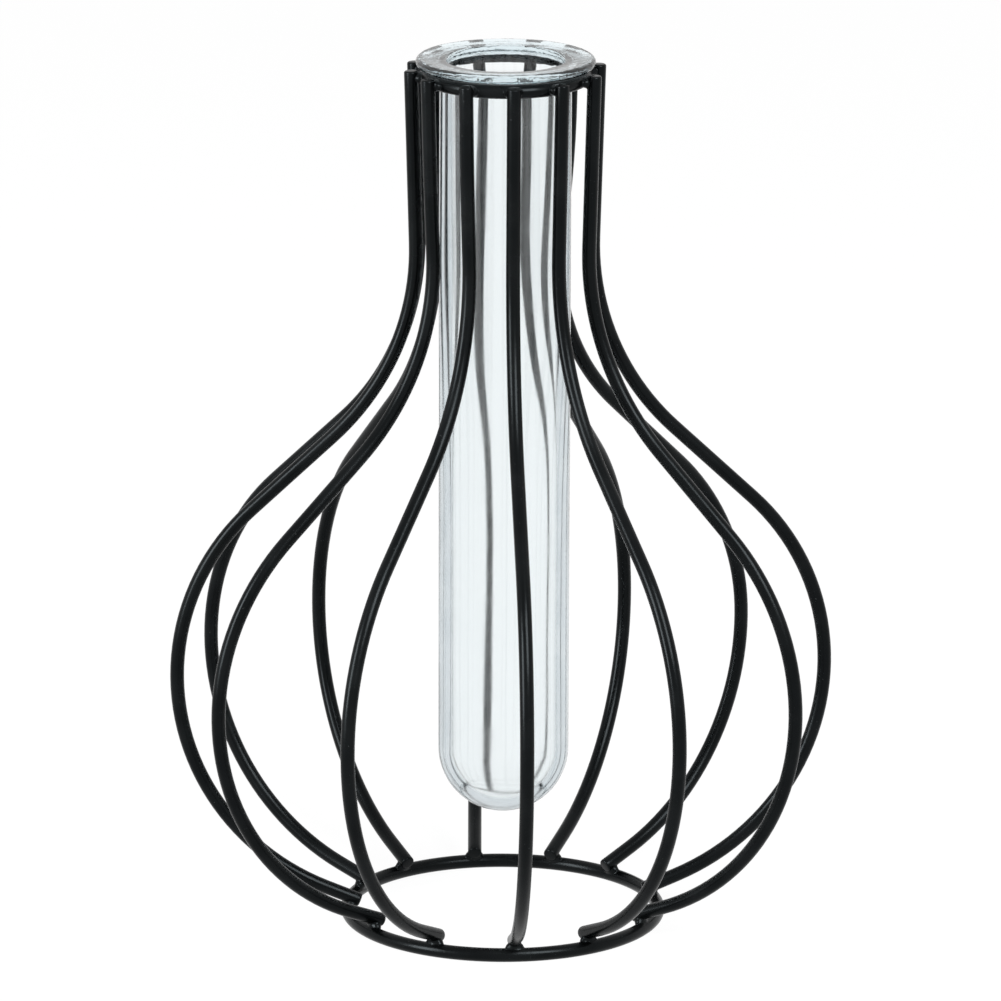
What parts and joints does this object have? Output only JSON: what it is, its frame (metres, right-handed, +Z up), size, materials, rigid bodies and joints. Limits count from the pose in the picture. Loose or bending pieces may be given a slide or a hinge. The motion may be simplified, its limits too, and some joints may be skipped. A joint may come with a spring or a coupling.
{
  "type": "glass vase with stand",
  "caption": "Glass tube vase hanging by its flared lip in a bulb-shaped stand of bent black wire; the tube lifts straight out to be filled or cleaned.",
  "frame": {"origin": "on the surface the stand rests on, at the middle of the foot ring, under the glass tube's axis", "axes": "+Z up along the glass tube, -Y towards the first rib at the front, +X to the right seen from the front"},
  "size_m": [0.1528, 0.1531, 0.203],
  "materials": {
    "wire": "satin black coating",
    "glass": "clear polished"
  },
  "bodies": {
    "stand": {"base_ring": "wire", "top_ring": "wire", "rib_01": "wire", "rib_02": "wire", "rib_03": "wire", "rib_04": "wire", "rib_05": "wire", "rib_06": "wire", "rib_07": "wire", "rib_08": "wire", "rib_09": "wire", "rib_10": "wire", "rib_11": "wire", "rib_12": "wire"},
    "glass": {"glass_tube": "glass"}
  },
  "joints": [
    {"name": "tube_lift", "type": "slide", "parent": "stand", "child": "glass", "axis": [0, 0, 1], "range_m": [0, 0.18]}
  ]
}
